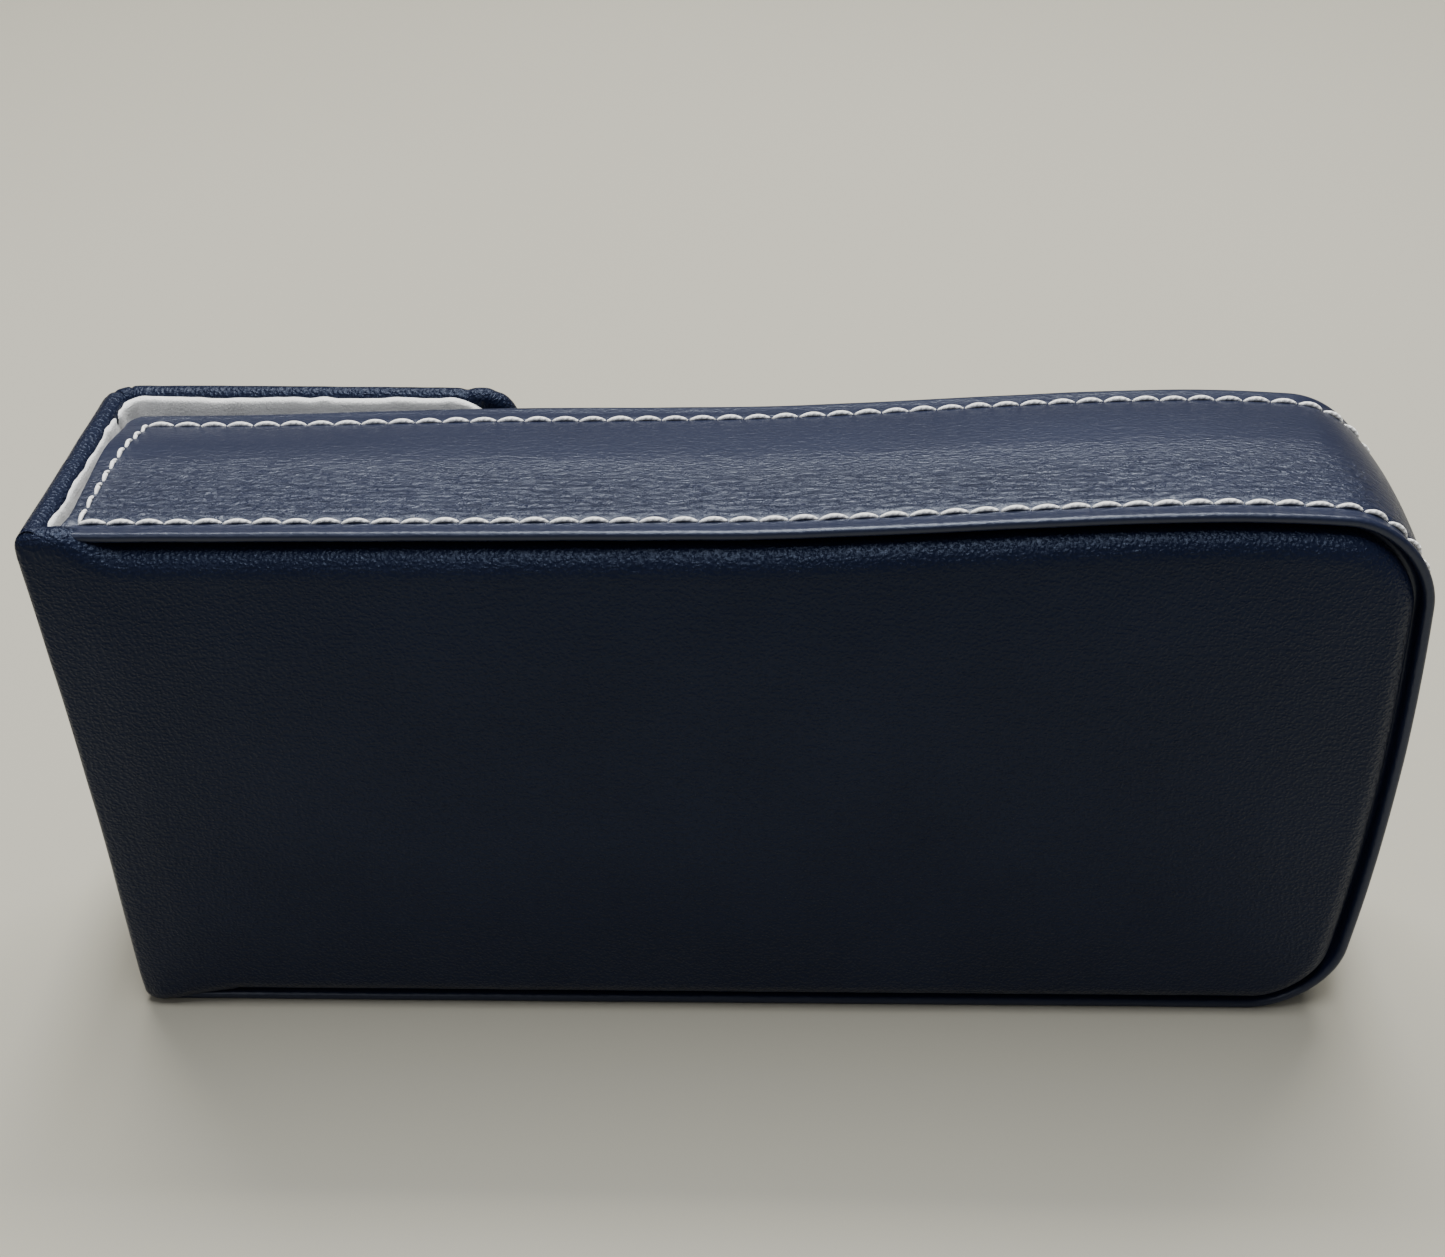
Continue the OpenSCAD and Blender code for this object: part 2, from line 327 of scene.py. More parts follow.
def creases(u, z, d):
    """Creases where the rolled edges turn the corners of the folds and of the flap's tip."""
    h = np.zeros_like(u)
    top = np.exp(-(d / 2.2) ** 2)
    for uc, w, depth in ((U2 - R2 * 0.55, 0.45, 0.26), (U2 - R2 * 0.2, 0.30, 0.10), (U2 - R2 * 1.25, 0.3, 0.22),
                         (U_END + 6.6, 0.70, 0.30), (U_END + 2.8, 0.65, 0.20),
                         (0.6, 0.5, 0.16), (3.4, 0.6, 0.12)):
        h += depth * np.exp(-((u - uc) / w) ** 2) * top
    return h


def leather_part(name, T, S, B, side, N_side):
    """T and B run from the seam to the side's corners, S from T's end to B's end; side is +1 when S lies at +u."""
    path = np.concatenate([T, S[1:-1], B[::-1]]) if side > 0 else np.concatenate([B, S[::-1][1:-1], T[::-1]])
    nrm = inward(path)
    # clean the normals at the seam
    nT, nB = (nrm[0], nrm[-1]) if side > 0 else (nrm[-1], nrm[0])
    if side > 0:
        nrm[0], nrm[-1] = (0, -1), (0, 1)
    else:
        nrm[0], nrm[-1] = (0, 1), (0, -1)
    s_len = arc_len(path)
    wc = cover_share(path[:, 0])[:, None]
    b = Build()
    rows, att = [], []
    for k in range(len(PROF_PANEL)):
        d = PROF_PANEL[k, 0] * (1 - wc) + PROF_COVER[k, 0] * wc
        h = PROF_PANEL[k, 1] * (1 - wc) + PROF_COVER[k, 1] * wc
        q = path + nrm * d
        u, z = q[:, 0], q[:, 1]
        dd = d[:, 0]
        hh = h[:, 0] + crown(dd, u) * (1 - c01(h[:, 0] / 2.0) * 0.0)
        wave = edge_relief(u, s_len) * math.exp(-((k - 6) / 5.0) ** 2)
        rel = relief(u, z) * c01(1 - h[:, 0] / 1.5)
        cr = creases(u, z, dd) * (0.4 + 0.6 * c01(h[:, 0] / 1.0))
        # a crease pulls the edge in towards the sheet's middle and back
        q2 = q + nrm * (cr * 0.8 + wave)[:, None] * (1 - (1 - wc) * 0.3)
        rows.append(sheet_point(q2[:, 0], q2[:, 1], hh - rel + cr * 0.35 * (k < 8)))
        att.append(np.stack([u, z, s_len * 0 + (h[:, 0])], -1))
    P = np.stack(rows, 0); A = np.stack(att, 0)
    # in the flat plan, texture runs over the edge by its own length
    lens = np.concatenate([[0], np.cumsum(np.linalg.norm(np.diff(P, axis=0), axis=2).mean(1))])
    for k in range(len(P)):
        A[k, :, :2] = path + nrm * 3.4 - nrm * lens[k]
        A[k, :, 2] = 0
    b.grid(P, A)
    # the interior
    inner = path + nrm * 3.4
    nT_ = len(T)
    if side > 0:
        Ti, Bi = inner[:nT_], inner[-len(B):][::-1]
        Si = inner[nT_ - 1: len(inner) - len(B) + 1]
        L = np.stack([np.full(N_side, Ti[0, 0]), np.linspace(Ti[0, 1], Bi[0, 1], N_side)], -1)
        # rows meet the side's samples
        tt = arc_len(Si); tt /= tt[-1]
        L = np.stack([np.full(len(Si), Ti[0, 0]), Ti[0, 1] + (Bi[0, 1] - Ti[0, 1]) * tt], -1)
        G = coons(Ti, Bi, L, Si)
    else:
        Bi, Ti = inner[:len(B)], inner[-nT_:][::-1]
        Si = inner[len(B) - 1: len(inner) - nT_ + 1][::-1]
        tt = arc_len(Si); tt /= tt[-1]
        L = np.stack([np.full(len(Si), Ti[0, 0]), Ti[0, 1] + (Bi[0, 1] - Ti[0, 1]) * tt], -1)
        G = coons(Ti, Bi, L, Si)
    gu, gz = G[..., 0], G[..., 1]
    flatG = G.reshape(-1, 2)
    dmin = np.full(len(flatG), 1e9)
    step = 4000
    for i in range(0, len(flatG), step):
        dmin[i:i + step] = np.sqrt(((flatG[i:i + step, None] - path[None, ::2]) ** 2).sum(-1)).min(1)
    dmin = dmin.reshape(gu.shape)
    # boundary rows match the strip exactly
    h = crown(dmin, gu) - relief(gu, gz)
    cr = creases(gu, gz, dmin)
    PG = sheet_point(gu, gz, h + cr * 0.35 * 0.4)
    edge = np.zeros(gu.shape, bool)
    edge[-1, :] = True; edge[:, 0] = True; edge[:, -1] = True
    # snap the grid's border to the strip's first row
    first = P[0]
    if side > 0:
        PG[:, 0] = first[:nT_]; PG[:, -1] = first[-len(B):][::-1]; PG[-1, :] = first[nT_ - 1: len(inner) - len(B) + 1]
    else:
        PG[:, -1] = first[:len(B)]; PG[:, 0] = first[-nT_:][::-1]; PG[-1, :] = first[len(B) - 1: len(inner) - nT_ + 1][::-1]
    AG = np.stack([gu, gz, 0 * gu], -1)
    b.grid(PG, AG)
    ob = b.make(name)
    return ob


def fix_normals(ob, ref_dir_fn):
    """Turns the faces so that they point along ref_dir_fn(centre) on the whole."""
    bm = bmesh.new(); bm.from_mesh(ob.data)
    bmesh.ops.recalc_face_normals(bm, faces=bm.faces)
    s = 0.0
    for f in bm.faces:
        c = f.calc_center_median()
        s += f.normal.dot(ref_dir_fn(c)) * f.calc_area()
    if s < 0:
        bmesh.ops.reverse_faces(bm, faces=bm.faces)
    bm.to_mesh(ob.data); bm.free()
    return ob


def u_list(a, b):
    """Samples of u from a to b, close together round the two folds."""
    out = [a]
    sgn = 1 if b > a else -1
    while (b - out[-1]) * sgn > 1e-6:
        u = out[-1]
        d0 = min(abs(u - (R1 + U1) / 2), abs(u - (U2 + U3) / 2), abs(u - (U_END + 6.5)) * 0.6 + 0.6)
        st = 0.16 + 0.11 * max(0.0, d0 - 2.0)
        out.append(u + sgn * min(st, 0.9))
    out[-1] = b
    return np.array(out)


def panel_side(inset_d, x_split_top):
    p = path_outline(14.0, 0.8)
    n = inward(p)
    q = p + n * inset_d
    return q


def panel_curves(x_seam):
    """Top, side and bottom of the front sheet's boundary, in the flat plan."""
    q = panel_side(PANEL_IN, 0)
    ang = np.degrees(np.arctan2(*inward(q).T[::-1]))      # -90 on top, 180 at the side, 90 below
    nrm = inward(q)
    # the corner's middle is where the inward direction has equal parts
    k1 = int(np.argmax((nrm[:, 0] < -0.707) & (q[:, 0] > FLAT_X - 5)))
    k2 = len(q) - 1 - int(np.argmax(((nrm[:, 0] < -0.707) & (q[:, 0] > FLAT_X - 5))[::-1]))
    us = u_list(x_seam, 13.2)
    T = np.concatenate([np.stack([us, ztop(us)], -1), q[1:k1 + 1][q[1:k1 + 1, 0] > 13.6]])
    Bq = q[k2:][::-1]
    B0 = np.stack([us, zbot(us)], -1)
    Bq = Bq[Bq[:, 0] > 13.6]
    B = np.concatenate([B0, Bq])
    # the same number of samples along top and bottom
    n = len(us)
    tT, tB = T[n:], B[n:]
    m = max(len(tT), len(tB))
    def resample(a, m):
        L = arc_len(a); return at_len(a, np.linspace(0, L[-1], m), L)
    tT, tB = resample(tT, m), resample(tB, m)
    T, B = np.concatenate([T[:n], tT]), np.concatenate([B[:n], tB])
    S = q[k1:k2 + 1].copy()
    S[0], S[-1] = T[-1], B[-1]
    return T, S, B


def flap_curves():
    r = 4.6
    us = u_list(U_SEAM, U_END + r)
    zt, zb = ZC1 + 1.0, ZC0
    a = arc_pts(90, 45, 9)
    ct = np.stack([U_END + r - r * np.cos(a), zt - r + r * np.sin(a)], -1)
    cb = np.stack([U_END + r - r * np.cos(a), zb + r - r * np.sin(a)], -1)
    T = np.concatenate([np.stack([us, np.full_like(us, zt)], -1), ct[1:]])
    B = np.concatenate([np.stack([us, np.full_like(us, zb)], -1), cb[1:]])
    a2 = arc_pts(45, 0, 9)
    st = np.stack([U_END + r - r * np.cos(a2), zt - r + r * np.sin(a2)], -1)
    sb = np.stack([U_END + r - r * np.cos(a2), zb + r - r * np.sin(a2)], -1)[::-1]
    mid = np.linspace(zt - r, zb + r, 60)[1:-1]
    S = np.concatenate([st, np.stack([np.full_like(mid, U_END), mid], -1), sb])
    return T, S, B


T, S, B = panel_curves(U_SEAM)
skin_a = leather_part("front_skin", T, S, B, 1, 70)
T, S, B = flap_curves()
skin_b = leather_part("flap_skin", T, S, B, -1, 70)

mid_cover = Vector([float(x) for x in to_frame(np.array([COVER_IN * 4, 0, 37.0]))])


def away_front(c):
    q = (np.array(c) * 1000) - np.array([X0, MID_Y, 0])
    return Vector((0, -1, 0)) if q[0] > 6 else Vector((-1, 0, 0))


def away_flap(c):
    q = (np.array(c) * 1000) - np.array([X0, MID_Y, 0])
    return Vector((0, 1, 0)) if q[0] > 6 else Vector((-1, 0, 0))


fix_normals(skin_a, away_front)
fix_normals(skin_b, away_flap)

# ------------------------------------------------------------------ the back panel
def panel_plate(name, sgn):
    q = path_outline(MOUTH_X + 0.2, 0.9)
    q = q + inward(q) * PANEL_IN
    q[0, 0] = q[-1, 0] = MOUTH_X + 0.2
    nrm = inward(q); nrm[0], nrm[-1] = (0, -1), (0, 1)
    k1 = int(np.argmax((nrm[:, 0] < -0.707) & (q[:, 0] > FLAT_X - 5)))
    k2 = len(q) - 1 - int(np.argmax(((nrm[:, 0] < -0.707) & (q[:, 0] > FLAT_X - 5))[::-1]))
    s_len = arc_len(q)
    b = Build(); rows, att = [], []
    def roll_left(x):
        e = np.maximum(0, 1.5 - (x - MOUTH_X - 0.2))
        return 1.5 - np.sqrt(np.maximum(0, 1.5 ** 2 - e ** 2))
    lens = 0.0; prev = None
    for k in range(len(PROF_PANEL)):
        d, h = PROF_PANEL[k]
        p = q + nrm * d
        hh = h + crown(np.full(len(p), d), np.full(len(p), 60.0))
        hh = np.minimum(3.8, hh + roll_left(p[:, 0]) * (h < 2.0)) - relief(p[:, 0], p[:, 1], 31) * (h < 1.2)
        P = np.stack([p[:, 0], sgn * (SKIN - hh), p[:, 1]], -1)
        if prev is not None:
            lens += np.linalg.norm(P - prev, axis=1).mean()
        prev = P
        rows.append(P)
        a = q + nrm * (3.4 - lens)
        att.append(np.stack([a[:, 0], a[:, 1], 0 * a[:, 0] + 5], -1))
    P, A = np.stack(rows), np.stack(att)
    b.grid(P, A)
    inner = q + nrm * 3.4
    Ti, Bi, Si = inner[:k1 + 1], inner[k2:][::-1], inner[k1:k2 + 1]
    m = max(len(Ti), len(Bi))
    # the same samples along top and bottom: both paths share x spacing by construction
    if len(Ti) != len(Bi):
        m = min(len(Ti), len(Bi))
    L = np.stack([np.full(len(Si), Ti[0, 0]), Ti[0, 1] + (Bi[0, 1] - Ti[0, 1]) * (arc_len(Si) / arc_len(Si)[-1])], -1)
    if len(Ti) == len(Bi):
        G = coons(Ti, Bi, L, Si)
    else:
        def rs(a): LL = arc_len(a); return at_len(a, np.linspace(0, LL[-1], m), LL)
        G = coons(rs(Ti), rs(Bi), L, Si)
    gu, gz = G[..., 0], G[..., 1]
    fl = G.reshape(-1, 2); dm = np.full(len(fl), 1e9)
    for i in range(0, len(fl), 4000):
        dm[i:i + 4000] = np.sqrt(((fl[i:i + 4000, None] - q[None, ::2]) ** 2).sum(-1)).min(1)
    dm = dm.reshape(gu.shape)
    hh = crown(dm, np.full_like(gu, 60.0)) + roll_left(gu) - relief(gu, gz, 31)
    PG = np.stack([gu, sgn * (SKIN - hh), gz], -1)
    if len(Ti) == len(Bi):
        PG[:, 0] = P[0][:k1 + 1]; PG[:, -1] = P[0][k2:][::-1]
    PG[-1, :] = P[0][k1:k2 + 1]
    b.grid(PG, np.stack([gu, gz, 0 * gu + 5], -1))
    # the turned-in edge at the mouth
    e = PG[0]
    steps = np.linspace(0, 1, 6)
    tuck = np.stack([np.stack([e[:, 0] + 0.1 * t, e[:, 1] - sgn * 2.3 * t, e[:, 2]], -1) for t in steps])
    b.grid(tuck, np.stack([np.stack([e[:, 0] - 2.3 * t, e[:, 2], 0 * e[:, 0] + 5], -1) for t in steps]))
    return fix_normals(b.make(name), lambda c: Vector((0, sgn, 0)))


back_skin = panel_plate("back_skin", 1)

# ------------------------------------------------------------------ the band's leatherette
FAR_R = 2.6


def mouth_shift(y):
    """The mouth edge opens away from the end cover towards the far rim, whose corner is rounded."""
    y = np.asarray(y, float)
    base = 0.62 * ease((y + RIM) / 5.0) - 0.35 * ease((y + 6.0) / 12.0)
    e = np.maximum(0, y - (RIM - FAR_R))
    return base + FAR_R - np.sqrt(np.maximum(0, FAR_R ** 2 - np.minimum(e, FAR_R) ** 2))


def far_dip(x, y):
    return 0.85 * ease((56 - x) / 44.0) * ease((y - 3.0) / 11.0)


def band_profile():
    """(y, depth below the band's face) across the band, from one turned-in rim to the other."""
    r = 0.55
    a = np.radians(np.linspace(180, 90, 7))
    lip = [(-SEAT - 0.02, 3.9), (-SEAT - 0.05, 3.2), (-SEAT - 0.06, 2.5), (-SEAT - 0.06, 1.9), (-SEAT - 0.12, 1.5), (-13.6, 1.32), (-14.2, 1.30), (-14.75, 1.28), (-15.0, 1.18), (-15.2, 1.0), (-RIM, 0.8)]
    roll = [(-RIM + r + r * math.cos(t), r - r * math.sin(t)) for t in a]
    near = lip + roll
    flat = [(-RIM + r + 0.35, -0.02), (-RIM + r + 0.9, 0.0)]
    mid = [(y, 0.0) for y in np.arange(-RIM + 1.9, RIM - 1.85, 0.42)]
    far = [(-y, d) for y, d in (near + flat)[::-1]]
    return np.array(near + flat + mid + far)


PITCH = 3.42
STITCH_L = 2.95


def near_in(x):
    return 2.85 + 0 * x


def far_in(x):
    return 3.1 + 0.85 * ease((x - 2) / 40.0) * ease((118 - x) / 55.0)


OUT = path_outline(MOUTH_X, 0.42)
OUT_L = arc_len(OUT)
OUT_N = inward(OUT); OUT_N[0], OUT_N[-1] = (0, -1), (0, 1)
TOTAL = OUT_L[-1]
S_ROW0 = 1.95                             # where the near row turns across the mouth
S_ROW1 = 3.3                              # and the far row


def stitch_ys(s, which):
    x = np.interp(s, OUT_L, OUT[:, 0]); z = np.interp(s, OUT_L, OUT[:, 1])
    if which < 0:
        return -RIM + near_in(x)
    return RIM - np.where(z > 40, far_in(x), 3.1)


def holes(which):
    s0 = S_ROW0 if which < 0 else S_ROW1
    n = int(round((TOTAL - 2 * s0) / PITCH))
    pitch = (TOTAL - 2 * s0) / n
    return s0 + pitch * np.arange(n + 1), pitch


HOLES_N, P_N = holes(-1)
HOLES_F, P_F = holes(1)


def dome_at(y):
    return 0.84 * c01((1.0 - y) / 14.0) ** 2 + 0.70 * c01((y - 1.0) / 12.0) ** 2 - 0.70


def surface(s, y, lift=0.0):
    """A point on the band's face at path length s and depth y, lifted off it."""
    s, y = np.asarray(s, float), np.asarray(y, float)
    p = at_len(OUT, s, OUT_L); n = at_len(OUT_N, s, OUT_L)
    n = n / (np.linalg.norm(n, axis=-1, keepdims=True) + 1e-9)
    x, z = p[..., 0], p[..., 1]
    top = (z > 40)
    sh = mouth_shift(y) * ease((16.0 - (x - MOUTH_X)) / 16.0)
    q = p - n * np.asarray(lift)[..., None]
    return np.stack([q[..., 0] + sh, y + 0 * x, q[..., 1] - np.where(top, far_dip(x, y), 0.0)], -1)


def dimple(s, y):
    """Leatherette pulled down round the thread and pinched at each hole."""
    out = np.zeros(np.broadcast(s, y).shape)
    for which, hs, pitch in ((-1, HOLES_N, P_N), (1, HOLES_F, P_F)):
        yr = stitch_ys(s, which)
        dy = y - yr
        ph = (s - hs[0]) / pitch
        dh = np.abs(ph - np.round(ph)) * pitch
        on = ease((s - S_ROW0 + 1) / 1.0) * ease((TOTAL - S_ROW0 + 1 - s) / 1.0)
        out = out + on * (0.10 * np.exp(-(dy / 0.8) ** 2) + 0.16 * np.exp(-(dy / 0.42) ** 2) * np.exp(-(dh / 0.45) ** 2))
    return out


prof = band_profile()
# along the path: rows that turn in at the mouth, then the face
r_m = 0.6
a = np.radians(np.linspace(90, 0, 6))
turn = [(-0.0, 3.2), (-0.0, 2.4), (-0.0, 1.6), (-0.0, 1.0)]
s_rows = [(0.0, dd) for _, dd in turn] + [(r_m - r_m * math.sin(t), r_m - r_m * math.cos(t)) for t in a[0:0]]
s_rows += [(r_m - r_m * math.cos(t), r_m - r_m * math.sin(t)) for t in np.radians(np.linspace(0, 90, 7))]
body_s = np.arange(r_m + 0.3, TOTAL - r_m - 0.25, 0.42)
rows_s = np.array([x[0] for x in s_rows] + list(body_s) + [TOTAL - x[0] for x in s_rows[::-1]])
rows_d = np.array([x[1] for x in s_rows] + [0.0] * len(body_s) + [x[1] for x in s_rows[::-1]])
SS, YY = np.meshgrid(rows_s, prof[:, 0], indexing="ij")
DD = rows_d[:, None] + prof[None, :, 1] * (rows_d[:, None] < 1.3) + 0.0
DD = np.where(rows_d[:, None] > 0, np.maximum(rows_d[:, None], prof[None, :, 1] * 1.0), DD)
face = (prof[None, :, 1] < 0.05) & (rows_d[:, None] < 0.05)
dome = dome_at(YY)
wav = dome + 0.06 * noise2(SS / 21.0, YY / 9.0, 5) + 0.03 * noise2(SS / 7.0, YY / 4.0, 6)
rimwave = 0.05 * noise2(SS / 6.0, np.sign(YY) * 3.0, 8)
DD = DD + np.where(face, dimple(SS, YY) + wav * ease((RIM - 0.5 - np.abs(YY)) / 1.6), 0.0) + rimwave * (np.abs(YY) > RIM - 1.4)
# a soft fall of the face towards the rims' lips
DD = DD + np.where(face, 0.10 * np.exp(-((np.abs(YY) - (RIM - 1.6)) / 0.6) ** 2), 0.0)
PB = surface(SS, YY, -DD)
bb = Build()
bb.grid(PB, np.stack([SS, YY, 0 * SS], -1))
band_skin = bb.make("band_skin", merge=0.002)
fix_normals(band_skin, lambda c: (Vector((c.x, 0, c.z)) - Vector((X0 / 1000 + 0.08, 0, 0.037))))

# ------------------------------------------------------------------ stitches
def thread(points, r, sides=8):
    """A tapered thread along points (n, 3), as a closed tube."""
    p = np.asarray(points, float)
    t = np.gradient(p, axis=0); t /= np.linalg.norm(t, axis=1)[:, None]
    up = np.array([0.0, 1.0, 0.0])
    e1 = np.cross(t, up); e1 /= np.linalg.norm(e1, axis=1)[:, None] + 1e-9
    e2 = np.cross(t, e1)
    ang = np.linspace(0, 2 * math.pi, sides, endpoint=False)
    ring = (p[:, None] + (np.cos(ang)[None, :, None] * e1[:, None] + np.sin(ang)[None, :, None] * e2[:, None]) * np.asarray(r)[:, None, None])
    return ring


def add_stitch(b, sa, ya, sb, yb, seed):
    """One stitch from hole a to hole b over the face."""
    k = 11
    t = np.linspace(0, 1, k)
    j = [hash2(seed, q, 77) - 0.5 for q in range(5)]
    s = sa + (sb - sa) * (0.04 + 0.92 * t); y = ya + (yb - ya) * (0.04 + 0.92 * t)
    arch = np.sin(math.pi * t) ** 0.75
    dm = dome_at(y)
    liftv = -0.22 + (0.42 + 0.08 * j[0]) * arch - dm
    slantv = (0.14 + 0.14 * j[1]) * (t - 0.5) + 0.06 * j[3]
    d = np.hypot(sb - sa, yb - ya)
    ns, ny = -(yb - ya) / d, (sb - sa) / d
    bow = 0.02 * np.sin(math.pi * t) + slantv
    P = surface(s + ns * bow, y + ny * bow, liftv)
    r = 0.28 * (0.45 + 0.55 * np.sin(math.pi * c01(t * 0.94 + 0.03)) ** 0.7) * (1 + 0.10 * j[2])
    ring = thread(P, r)
    A = np.broadcast_to(np.stack([s, np.full(k, seed * 3.0), 0 * s], -1)[:, None], ring.shape).copy()
    A[..., 2] = np.linspace(0, 1, ring.shape[1])[None, :]
    b.grid(ring, A, wrap=True)
    # rounded ends
    for e, dirn in ((0, -1), (-1, 1)):
        c = ring[e].mean(0)
        cap = np.stack([ring[e], np.broadcast_to(c, ring[e].shape)], 0)
        b.grid(cap, A[:2] * 0 + A[e][None], wrap=True)


def stitch_row(name, which):
    b = Build()
    hs, pitch = (HOLES_N, P_N) if which < 0 else (HOLES_F, P_F)
    for i in range(len(hs) - 1):
        ya, yb = float(stitch_ys(hs[i], which)), float(stitch_ys(hs[i + 1], which))
        add_stitch(b, hs[i], ya, hs[i + 1], yb, i + (500 if which > 0 else 0))
    return fix_normals(b.make(name, merge=0.001), lambda c: Vector((0, 0, 1)))


def seam_cross(name):
    b = Build()
    for end in (0, 1):
        y0, y1 = float(stitch_ys(S_ROW0 if end == 0 else TOTAL - S_ROW0, -1)), float(stitch_ys(S_ROW1 if end == 0 else TOTAL - S_ROW1, 1))
        n = int(round((y1 - y0) / 2.7))
        ys = np.linspace(y0, y1, n + 1)
        ss = S_ROW0 + (S_ROW1 - S_ROW0) * ease((ys - y0) / (y1 - y0))
        if end == 1:
            ss = TOTAL - ss
        for i in range(n):
            add_stitch(b, ss[i], ys[i], ss[i + 1], ys[i + 1], 900 + 50 * end + i)
    return b.make(name, merge=0.001)


st_front = stitch_row("thread_front", -1)
st_back = stitch_row("thread_back", 1)
st_mouth = seam_cross("thread_mouth")
for o in (st_front, st_back, st_mouth):
    bm = bmesh.new(); bm.from_mesh(o.data)
    bmesh.ops.recalc_face_normals(bm, faces=bm.faces)
    bm.to_mesh(o.data); bm.free()

# ------------------------------------------------------------------ plush linings
def plush_wrap():
    """Lining of the end cover and the flap: one strip that turns the inner corner of the second fold."""
    r = 2.2
    y_lo, y_hi = PY + 1.9, FLAP_IN
    xc = COVER_IN - 0.25
    seg1 = [(xc, y) for y in np.linspace(y_lo, y_hi - r - 1.5, 60)]
    seg1 += [(xc, y) for y in np.linspace(y_hi - r - 1.4, y_hi - r, 12)]
    arc = [(xc + r - r * math.cos(t), y_hi - r + r * math.sin(t)) for t in np.radians(np.linspace(8, 82, 10))]
    seg2 = [(x, y_hi) for x in np.linspace(xc + r, xc + r + 2, 12)]
    seg2 += [(x, y_hi) for x in np.linspace(xc + r + 2.4, FLAP_L - 1.5, 90)]
    P2 = np.array(seg1 + arc + seg2)
    t = np.gradient(P2, axis=0); t /= np.linalg.norm(t, axis=1)[:, None]
    out = np.stack([-t[:, 1], t[:, 0]], -1)       # towards the leatherette
    L = arc_len(P2)
    b = Build()
    z0, z1 = ZC0 + 0.9, ZC1 + 0.30
    # section: up over the top edge and down the inner face, round the bottom
    e = np.radians(np.linspace(0, 180, 9))
    tk = 1.25
    sec = [(tk - tk * (1 - math.cos(a)) / 2, z1 - 0.55 + 0.55 * math.sin(a)) for a in e]
    sec = [(tk, z1 - 3.0), (tk, z1 - 1.5)] + sec
    sec += [(0.0, z) for z in np.linspace(z1 - 1.2, z0 + 1.2, 70)]
    sec += [(tk * (1 - math.cos(a)) / 2, z0 + 0.55 - 0.55 * math.sin(a)) for a in e]
    sec += [(tk, z0 + 1.5), (tk, z0 + 3.0)]
    sec = np.array(sec)
    tip = L[-1]
    rr = 5.5
    rows, att = [], []
    for i in range(len(P2)):
        # the tip's corners are rounded
        dtip = tip - L[i]
        cut = rr - math.sqrt(max(0.0, rr ** 2 - max(0.0, rr - dtip) ** 2)) if dtip < rr else 0.0
        z = np.clip(sec[:, 1], z0 + cut, z1 - cut)
        zc = (z0 + z1) / 2
        z = zc + (sec[:, 1] - zc) * ((z1 - z0) / 2 - cut) / ((z1 - z0) / 2)
        h = sec[:, 0].copy()
        bunch = math.exp(-((L[i] - L[71]) / 3.2) ** 2)
        wv = 0.16 * noise2(L[i] * 0.9 + 0 * z, z * 0.22, 41) + 0.34 * bunch * noise2(L[i] * 1.5 + 0 * z, z * 0.5 + 3, 42)
        wz = 0.30 * noise2(np.full(len(z), L[i] * 0.55), 0 * z, 43) + 0.35 * bunch * noise2(np.full(len(z), L[i] * 1.3), 0 * z, 44)
        top = ease((z - (z1 - 4)) / 4.0)
        h = h - wv
        rows.append(np.stack([P2[i, 0] + out[i, 0] * h, P2[i, 1] + out[i, 1] * h, z + wz * top], -1))
        att.append(np.stack([np.full(len(z), L[i]), z, h], -1))
    P = np.stack(rows)
    b.grid(P, np.stack(att))
    # close the two ends against the leatherette
    for e_i, dx in ((0, 0), (-1, 0)):
        row = P[e_i]
        tgt = row.copy()
        tgt[:, 0] += out[e_i, 0] * 1.25; tgt[:, 1] += out[e_i, 1] * 1.25
        if e_i == 0:
            tgt[:, 1] += 0.0
        b.grid(np.stack([row, (row + tgt) / 2, tgt]), np.stack([att[e_i]] * 3))
    ob = b.make("cover_plush")
    return fix_normals(ob, lambda c: (Vector((1, 0, 0)) if c.x * 1000 < X0 + 6 else Vector((0, -1, 0))))


plush_b = plush_wrap()

INNER = 4.25


def band_plush():
    q = path_outline(MOUTH_X + 0.4, 1.2)
    nn = inward(q); nn[0], nn[-1] = (0, -1), (0, 1)
    s = arc_len(q)
    # across the band, with rolled edges at the mouth
    ys = np.concatenate([[-SEAT + 0.3, -SEAT + 0.6], np.linspace(-SEAT + 1.1, SEAT - 1.1, 40), [SEAT - 0.6, SEAT - 0.3]])
    rows, att = [], []
    ends = np.minimum(s, s[-1] - s)
    for j, y in enumerate(ys):
        edge = max(0.0, abs(y) - (SEAT - 1.6))
        d = INNER + edge ** 2 * 0.35 + 0.10 * noise2(s / 3.0, 0 * s + y / 3.0, 51) - 0.9 * np.sqrt(np.maximum(0, 1 - c01(ends / 0.9))) * 1.0
        p = q + nn * d[:, None]
        sh = mouth_shift(np.full(len(s), y)) * ease((14.0 - (q[:, 0] - MOUTH_X)) / 14.0)
        dz = np.where(q[:, 1] > 40, far_dip(q[:, 0], np.full(len(s), y)), 0)
        rows.append(np.stack([p[:, 0] + sh * 0.9, np.full(len(s), y), p[:, 1] - dz], -1))
        att.append(np.stack([s, np.full(len(s), y), 0 * s], -1))
    b = Build()
    P = np.stack(rows, 1)
    b.grid(P, np.stack(att, 1))
    ob = b.make("band_plush")
    return fix_normals(ob, lambda c: -(Vector((c.x, 0, c.z)) - Vector((X0 / 1000 + 0.08, 0, 0.037))))


